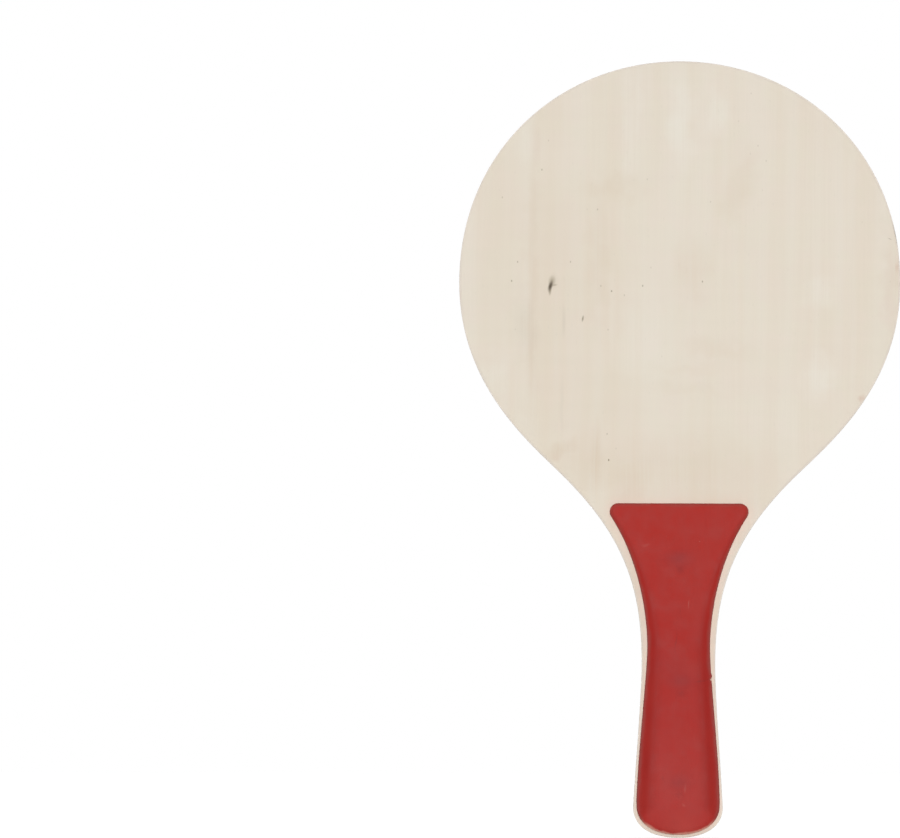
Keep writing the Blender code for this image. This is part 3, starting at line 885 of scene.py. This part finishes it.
def veneerMaterial(name, marks, rimMarks, torn, pins, seed):
    look = faceLook
    material, tree, shader, place = newMaterial(name, look)
    grain = woodGrain(place, look["fibre"], seed)
    colour = mixed(between(grain["Band"], 0.30, 0.74), look["cream"], look["warm"])
    cloud = mixed(between(grain["Cloud"], 0.40, 0.60), look["straw"], look["pink"])
    colour = mixed(look["cloudy"], colour, cloud)
    ripples = ramp(grain["Ripple"], 0.30, 0.70, -0.006, 0.006)
    fibres = ramp(grain["Fibre"], 0.25, 0.75, 0.984, 1.010)
    colour = shaded(colour, plus(fibres, ripples))
    places = shaken(place, look["shakeScale"], look["shake"])
    patchy = between(grain["Fibre"], 0.30, 0.62, 0.55, 1.0)
    colour = withMarks(colour, marks, look, places, patchy, look["markGrowth"])
    knots = pinKnots(place, pins, look)
    colour = mixed(knots, colour, look["fleck"])
    colour = tinted(colour, grain["Pores"], look["porous"], look["grey"])
    ragged = between(grain["Fibre"], 0.2, 0.5, 0.7, 1.0)
    growth, soft = look["tearGrowth"], look["tearSoft"]
    colour = withMarks(colour, torn, look, [place], ragged, growth, soft)
    # sanded pale round the edge, lightened further as painted light over the rounded edge's shade, and
    # the veneer's own cut edge on the wall under it
    edge = attribute(tree, "edge")
    axes = put("SeparateXYZ", {0: place}).outputs
    full, gone = [halfThickness - depth for depth in look["wallDepth"]]
    wall = between(maths("ABSOLUTE", axes["Y"]), full, gone, 1.0, 0.0)
    full, gone, strength = look["sandingAndLight"]
    colour = mixed(between(edge, full, gone, strength, 0.0), colour, look["sanded"])
    colour = tinted(colour, wall, look["wallTint"], look["wall"])
    # the foot and the wall stay cleaner
    low, high, least = look["cleanFoot"]
    dirt = worn(place, edge, *look["rimWear"])
    dirt = times(dirt, between(axes["Z"], low, high, least, 1.0))
    colour = tinted(colour, dirt, minus(1.0, wall), look["rim"])
    stain = worn(place, edge, *look["rimStain"])
    colour = mixed(stain, colour, look["rimDirt"])
    colour = withMarks(colour, rimMarks, look, places, patchy, look["markGrowth"])
    feed(shader["Base Color"], colour)
    feed(shader["Roughness"], ramp(grain["Fibre"], 0.2, 0.8, 0.56, 0.70))
    ridges = plus(grain["Fibre"], times(knots, -look["pinDeep"]))
    feed(shader["Normal"], bumped(ridges, look["relief"]))
    return material


# Inner plies, seen at the blade's edge: a light and a dark tone each
plyLook = {
    "crossply": (tone(226, 205, 176), tone(203, 176, 142)),
    "core": (tone(230, 215, 192), tone(213, 192, 164)),
    "pit": tone(120, 92, 64),
    "specular": 0.2,
    "roughness": 0.72,
    "fibre": (0.35 * mm, 12 * mm),
    "pits": (0.7 * mm, 0.28 * mm, 0.5),  # spacing, size and share
    "pitTint": 0.6,
    "endTint": 0.28,  # how much darker end grain is
    "relief": 0.05 * mm,
}


# turned: the grain runs across the bat
def edgePlyMaterial(name, tones, turned, seed):
    look = plyLook
    light, dark = tones
    material, tree, shader, place = newMaterial(name, look)
    turn = (0, math.pi / 2 if turned else 0, 0)
    along = put("Mapping", {"Vector": place, "Rotation": turn}).outputs[0]
    grain = woodGrain(along, look["fibre"], seed)
    # end grain: the share of the normal that lies along the grain
    normal = newNode(tree, "TexCoord").outputs["Normal"]
    cut = vectors("DOT_PRODUCT", normal, (1, 0, 0) if turned else (0, 0, 1))
    endGrain = maths("POWER", maths("ABSOLUTE", cut), 2.0)
    colour = mixed(between(grain["Fibre"], 0.3, 0.7), light, dark)
    colour = tinted(colour, endGrain, look["endTint"], dark)
    pits = times(specks(place, *look["pits"]), endGrain)
    feed(shader["Base Color"], tinted(colour, pits, look["pitTint"], look["pit"]))
    feed(shader["Roughness"], ramp(grain["Fibre"], 0.2, 0.8, 0.66, 0.82))
    feed(shader["Normal"], bumped(minus(grain["Fibre"], pits), look["relief"]))
    return material


# Glue between the plies and under the scales
glueLook = {
    "ply": (tone(150, 118, 82), tone(176, 146, 108)),
    "seam": (tone(120, 62, 48), tone(150, 96, 70)),
    "bubble": tone(86, 62, 40),
    "specular": 0.4,
    "roughness": 0.4,
    "bubbles": (1.1 * mm, 0.4 * mm, 0.6),  # spacing, size and share
    "bubbleTint": 0.5,
    "relief": 0.03 * mm,
}


def glueMaterial(name, tones):
    look = glueLook
    material, _, shader, place = newMaterial(name, look)
    bubble = specks(place, *look["bubbles"])
    blotch = noise(place, 260.0, 2.0)
    colour = mixed(between(blotch, 0.35, 0.65), *tones)
    feed(shader["Base Color"], tinted(colour, bubble, look["bubbleTint"], look["bubble"]))
    feed(shader["Normal"], bumped(minus(blotch, bubble), look["relief"]))
    return material


# Red paint over wood, with painted light: shade on the rounded sides and along the border, a sheen low
# on the palm, a highlight at the butt and light on its worn end. Heights are those over which a tone
# changes.
paintLook = {
    "crown": tone(163, 35, 29),
    "flare": tone(166, 36, 28),
    # painted sheen: the palm's greyer, lighter red
    "palm": tone(168, 48, 43),
    # painted shade on the rounded sides
    "side": tone(147, 30, 24),
    # painted highlight on the butt's slope
    "butt": tone(180, 68, 62),
    "dull": tone(160, 46, 38),
    # the border's darker line: dirt and painted shade where the scale meets the blade
    "deep": tone(137, 62, 55),
    "smear": tone(144, 50, 50),
    "pin": tone(116, 36, 36),
    "scratch": tone(120, 36, 34),
    # worn paint at the butt's end, lightened further as painted light over the edge's shade
    "rubbedAndLit": tone(232, 180, 160),
    "bareWood": tone(228, 198, 176),
    "dust": tone(196, 120, 112),
    "specular": 0.15,
    "roughness": 0.58,
    "fibre": (0.8 * mm, 20 * mm),  # of the wood under the paint
    "seed": 7.0,
    "flareHeights": (60 * mm, 130 * mm),
    "palmSheenHeights": (5 * mm, 72 * mm),
    "sideShadeHeights": (60 * mm, 112 * mm),
    "rubAndLightHeights": (4 * mm, 9 * mm),
    "buttHighlightTint": 0.9,
    "dullTint": 0.22,
    "smearTint": 0.6,
    "pinTint": 0.32,
    "dustTint": 0.4,
    "dustSpecks": (6 * mm, 0.32 * mm, 0.5),  # spacing, size and share
    "borderDirtAndShade": (1.7 * mm, 160.0, 0.8),  # reach, grain and amount
    "borderRubAndLight": (1.1 * mm, 260.0, 0.9),
    "shakeScale": 160.0,
    "shake": [(2 * mm, 0, 4 * mm)],
    "wideMark": 2.5,
    "fibreRelief": 0.8,  # shares of fibres and of orange peel in the relief
    "peelRelief": 0.5,
    "relief": 0.03 * mm,
}

# Scratches, smears and spots in the paint, in the form of the veneer's marks
frontScuffs = [
    ((-1.2, 83), (0.5, 8), 3, 0.35, "scratch"),
    ((0.8, 96), (0.4, 5), -2, 0.25, "scratch"),
    ((4.0, 99), (0.4, 2.6), 6, 0.30, "dust"),
    ((9.6, 67.2), (4.2, 0.7), -14, 0.45, "scratch"),
    ((2.8, 21), (0.7, 3.0), 4, 0.16, "dust"),
    ((2.2, 14), (0.8, 1.6), -30, 0.16, "dust"),
    ((-6.8, 26), (0.7, 1.2), 0, 0.25, "scratch"),
    ((-14.0, 124), (2.4, 0.8), 4, 0.12, "dust"),
    ((-1.6, 117.5), (10, 5.5), 0, 0.26, "smear"),
    ((-3.0, 73), (12, 9), 0, 0.20, "smear"),
]
rearScuffs = [
    ((2.4, 90), (0.5, 7), -4, 0.30, "scratch"),
    ((-5.0, 44), (0.6, 5), 8, 0.28, "dust"),
    ((8.0, 126), (2.2, 0.7), -6, 0.25, "scratch"),
]


def paintMaterial(name, scuffs):
    look = paintLook
    material, tree, shader, place = newMaterial(name, look)
    grain = woodGrain(place, look["fibre"], look["seed"])
    height = put("SeparateXYZ", {0: place}).outputs["Z"]
    edge = attribute(tree, "edge")
    colour = mixed(between(height, *look["flareHeights"]), look["crown"], look["flare"])
    # a painted sheen, greyer and lighter, low on the palm
    palm = between(height, *look["palmSheenHeights"], 1.0, 0.0)
    colour = mixed(palm, colour, look["palm"])
    # painted shade on the rounded sides, darkest at the palm
    roundedSideShade = between(attribute(tree, "side"), 0.05, 0.7)
    sideShadeStrength = between(height, *look["sideShadeHeights"], 1.0, 0.6)
    colour = tinted(colour, roundedSideShade, sideShadeStrength, look["side"])
    # painted highlight at the butt
    colour = tinted(colour, attribute(tree, "butt"), look["buttHighlightTint"], look["butt"])
    cloud = between(grain["Cloud"], 0.35, 0.65)
    colour = tinted(colour, cloud, look["dullTint"], look["dull"])
    mottle = noise(place, 150.0, 4.0, 0.6)
    fibres = ramp(grain["Fibre"], 0.3, 0.7, -0.02, 0.02)
    colour = shaded(colour, plus(ramp(mottle, 0.3, 0.7, 0.965, 1.035), fibres))
    patchy = between(mottle, 0.35, 0.6, 0.5, 1.0)
    for label in ("smear", "pin"):
        mask = times(attribute(tree, label), patchy)
        colour = tinted(colour, mask, look[label + "Tint"], look[label])
    dust = specks(place, *look["dustSpecks"])
    colour = tinted(colour, dust, look["dustTint"], look["dust"])
    # a dirty line along the border, darkened further as painted shade where the scale meets the blade,
    # but worn paint lightened as painted light at the butt's end
    low = between(height, *look["rubAndLightHeights"], 1.0, 0.0)
    dirt = worn(place, edge, *look["borderDirtAndShade"])
    colour = tinted(colour, dirt, minus(1.0, low), look["deep"])
    # worn paint and painted light over the shaded edge at the butt's end
    rubAndLight = worn(place, edge, *look["borderRubAndLight"])
    colour = tinted(colour, rubAndLight, low, look["rubbedAndLit"])
    places = shaken(place, look["shakeScale"], look["shake"])
    colour = withMarks(colour, scuffs, look, places)
    ragged = minus(noise(place, 1400.0, 3.0), 0.5)
    chip = between(plus(attribute(tree, "chip"), ragged), 0.42, 0.72)
    feed(shader["Base Color"], mixed(chip, colour, look["bareWood"]))
    gloss = ramp(mottle, 0.3, 0.7, 0.53, 0.63)
    feed(shader["Roughness"], plus(gloss, times(chip, 0.3)))
    fibres = times(grain["Fibre"], look["fibreRelief"])
    peel = times(noise(place, 700.0, 2.0), look["peelRelief"])
    surface = plus(plus(fibres, peel), dust)
    feed(shader["Normal"], bumped(surface, look["relief"]))
    return material


# Drawn steel wire
steelLook = {
    "tones": (tone(158, 158, 156), tone(184, 184, 181)),
    "lines": (9000, 500, 9000),  # to the metre, along X, Y and Z
    "specular": 0.5,
    "roughness": 0.34,
    "metallic": 1.0,
}


def steelMaterial(name):
    material, _, shader, place = newMaterial(name, steelLook)
    place = vectors("MULTIPLY", place, steelLook["lines"])
    drawn = noise(place, 1.0, 2.0)
    feed(shader["Base Color"], mixed(drawn, *steelLook["tones"]))
    feed(shader["Roughness"], ramp(drawn, 0.3, 0.7, 0.26, 0.44))
    return material


# Wood filler over the brads, gritty
fillerLook = {
    "tones": (tone(168, 150, 126), tone(186, 170, 148)),
    "grit": tone(128, 104, 76),
    "gritSpecks": (0.4 * mm, 0.16 * mm, 0.7),  # spacing, size and share
    "gritTint": 0.6,
    "specular": 0.2,
    "roughness": 0.85,
    "relief": 0.04 * mm,
}


def fillerMaterial(name):
    look = fillerLook
    material, _, shader, place = newMaterial(name, look)
    grit = specks(place, *look["gritSpecks"])
    blotch = noise(place, 900.0, 3.0)
    colour = mixed(blotch, *look["tones"])
    feed(shader["Base Color"], tinted(colour, grit, look["gritTint"], look["grit"]))
    feed(shader["Normal"], bumped(minus(blotch, grit), look["relief"]))
    return material


tornMarks = [tear[:5] for tear in tears.values()]
looks = {
    "veneer_front": veneerMaterial("face_veneer", frontMarks, frontRimMarks, tornMarks, frontPins, 2.0),
    "veneer_rear": veneerMaterial("face_veneer_rear", rearMarks, [], [], rearPins, 9.0),
    "crossply": edgePlyMaterial("crossply_edge", plyLook["crossply"], True, 3.0),
    "core": edgePlyMaterial("core_edge", plyLook["core"], False, 5.0),
    "plyGlue": glueMaterial("ply_glue", glueLook["ply"]),
    "seamGlue": glueMaterial("seam_glue", glueLook["seam"]),
    "grip_front": paintMaterial("grip_paint", frontScuffs),
    "grip_rear": paintMaterial("grip_paint_rear", rearScuffs),
    "steel": steelMaterial("brad_steel"),
    "filler": fillerMaterial("wood_filler"),
}
print("materials:", len(looks))


# How far a glue line strays from its level: a ripple round the outline
def strayOf(seed):
    return lambda share: blade["plyWander"] * ripple(share, blade["plyWaves"], seed)


# How far the rim is sunk round the outline: a depth and a wobble
def sunkBy(depth, wobble, seed):
    return lambda share: depth + wobble * (1 + ripple(share, blade["rimWaves"], seed) / 2)


# Plies, and glue lines midway between two CAD plies. The two faces don't stray.
def buildBlade():
    boxes = [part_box(node) for _, node, _ in plies]
    joints = [(front[1].y + rear[0].y) / 2 for front, rear in zip(boxes, boxes[1:])]
    film = blade["glueLine"] / 2
    seeds = blade["seeds"]
    strays = [strayOf(seeds["wander"] + k) for k in range(len(joints))]
    strays = [np.zeros_like, *strays, np.zeros_like]
    for k, (name, node, slot) in enumerate(plies):
        front = joints[k - 1] + film if k else boxes[0][0].y
        rear = joints[k] - film if k < len(joints) else boxes[-1][1].y
        visible = {0: "front", len(joints): "rear"}.get(k)
        depth = blade["endGrainSunk"] if slot == "cross_wood" else 0.0
        sunk = sunkBy(depth, blade["rimWobble"], seeds["rim"] + k)
        mesh = plyMesh(name, front, rear, strays[k : k + 2], sunk, visible, seeds["face"] + k)
        look = looks.get(name) or looks["crossply" if slot == "cross_wood" else "core"]
        newPiece(name, mesh, look, [node])
    for k, level in enumerate(joints):
        name = f"glue_line_{k + 1}"
        sunk = sunkBy(blade["glueSunk"], blade["endGrainSunk"], seeds["glue"] + k)
        mesh = plyMesh(name, level - film, level + film, [strays[k + 1]] * 2, sunk)
        newPiece(name, mesh, looks["plyGlue"])
    print("blade: plies", len(plies), "glue lines", len(joints))


# The glue under a scale: the scale's plan drawn in, as a thin closed sheet
def seamMesh(name, turned):
    halfWidth = (gripRows["x"] - gripRows["nx"] * grip["seamSunk"])[:, None]
    x = halfWidth * np.linspace(-1, 1, blade["hiddenColumns"] + 1)[None, :]
    z = (gripRows["z"] - gripRows["nz"] * grip["seamSunk"])[:, None]
    sheets = [gridOf(x, level, z) for level in (-gripBase, -halfThickness)]
    rim = np.stack([border(sheet) for sheet in sheets])
    return closedMesh(name, onSide([*sheets, rim], turned))


def buildGrip():
    for side, turned in (("front", False), ("rear", True)):
        mesh = gripMesh(f"grip_{side}", turned)
        newPiece(f"grip_{side}", mesh, looks[f"grip_{side}"], [f"handle_scale_{side}"])
        newPiece(f"grip_seam_{side}", seamMesh(f"grip_seam_{side}", turned), looks["seamGlue"])
    for name in bradNodes + fillerNodes:
        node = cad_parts[name]
        node.data.materials.clear()
        node.data.materials.append(looks["steel" if name in bradNodes else "filler"])
    print("grip: scales 2, brads", len(bradNodes), "fillers", len(fillerNodes))


buildBlade()
buildGrip()

studio = {
    "floorSize": 3.0,
    "floorTone": 0.45,
    "floorLift": 0.82,  # added where the camera sees the floor, to make it white
    "sky": 0.15,
    # soft boxes: direction from the middle of the bat, distance and watts
    "boxes": {
        "front": ((0, -1, 0), 5.0, 188.0),
        "rear": ((0, 1, 0), 5.0, 188.0),
        "left": ((-1, 0, 0), 2.6, 23.0),
        "right": ((1, 0, 0), 2.6, 23.0),
        "top": ((0, 0, 1), 2.6, 24.0),
    },
    "boxSize": 0.42,
    "boxMiddle": (0, 0, 0.19),
    "lens": 800.0,
    "mmPerPixel": 0.42515,  # size of the photograph's pixels on the bat
    "picture": (900, 838),
    "batColumn": 679.3,  # the bat's axis and foot in the photograph
    "footRow": 836.8,
    "aslant": 0.2,  # degrees, how far its top leans to the right there
}


# 1 for rays that come straight from the camera, off a glossy surface or through glass
def seenRays(tree):
    rays = newNode(tree, "LightPath").outputs
    direct = maths("MAXIMUM", rays["Is Camera Ray"], rays["Is Glossy Ray"])
    return maths("MAXIMUM", direct, rays["Is Transmission Ray"])


# A matt grey floor, lifted to white where it is seen, and clear from below
def buildFloor():
    half = studio["floorSize"] / 2
    mesh = bpy.data.meshes.new("studio_floor")
    corners = [(-half, -half, 0), (half, -half, 0), (half, half, 0), (-half, half, 0)]
    mesh.from_pydata(corners, [], [(0, 1, 2, 3)])
    floor = newObject("studio_floor", mesh)
    material = bpy.data.materials.new("white_floor")
    material.use_nodes = True
    tree = material.node_tree
    tree.nodes.clear()
    strength = times(seenRays(tree), studio["floorLift"])
    glow = put("Emission", {"Color": (1, 1, 1, 1), "Strength": strength})
    matt = newNode(tree, "BsdfDiffuse", {"Color": (*[studio["floorTone"]] * 3, 1)})
    both = put("AddShader", {0: matt.outputs[0], 1: glow.outputs[0]})
    clear = newNode(tree, "BsdfTransparent")
    below = newNode(tree, "NewGeometry").outputs["Backfacing"]
    shown = put("MixShader", {0: below, 1: both.outputs[0], 2: clear.outputs[0]})
    put("OutputMaterial", {"Surface": shown.outputs[0]})
    mesh.materials.append(material)


# A dim white sky that is full white where it is seen
def buildSky():
    world = bpy.data.worlds.new("studio")
    bpy.context.scene.world = world
    world.use_nodes = True
    tree = world.node_tree
    tree.nodes.clear()
    strength = plus(studio["sky"], times(seenRays(tree), 1 - studio["sky"]))
    light = put("Background", {"Color": (1, 1, 1, 1), "Strength": strength})
    put("OutputWorld", {"Surface": light.outputs[0]})


# Square soft boxes, strongest before and behind the bat, aimed at it and hidden from the camera
def buildLamps():
    for side, (toward, away, watts) in studio["boxes"].items():
        data = bpy.data.lights.new("soft_box_" + side, "AREA")
        data.size = studio["boxSize"]
        data.energy = watts
        lamp = newObject("soft_box_" + side, data)
        lamp.location = Vector(studio["boxMiddle"]) + Vector(toward) * away
        lamp.rotation_euler = Vector(toward).to_track_quat("Z", "Y").to_euler()
        lamp.visible_camera = False


# The camera looks straight at the front face through a long lens, as a flat copy stand does
def buildCamera():
    data = bpy.data.cameras.new("camera")
    data.lens = studio["lens"]
    camera = newObject("camera", data)
    wide, high = studio["picture"]
    unit = studio["mmPerPixel"] * mm
    away = data.lens / data.sensor_width * wide * unit
    across, up = (wide / 2 - studio["batColumn"]) * unit, (studio["footRow"] - high / 2) * unit
    camera.location = (across, -away, up)
    camera.rotation_euler = (math.pi / 2, -math.radians(studio["aslant"]), 0)
    bpy.context.scene.camera = camera


buildFloor()
buildSky()
buildLamps()
buildCamera()
bpy.context.scene.view_settings.view_transform = "Standard"
print("studio: floor, sky, lamps and camera")
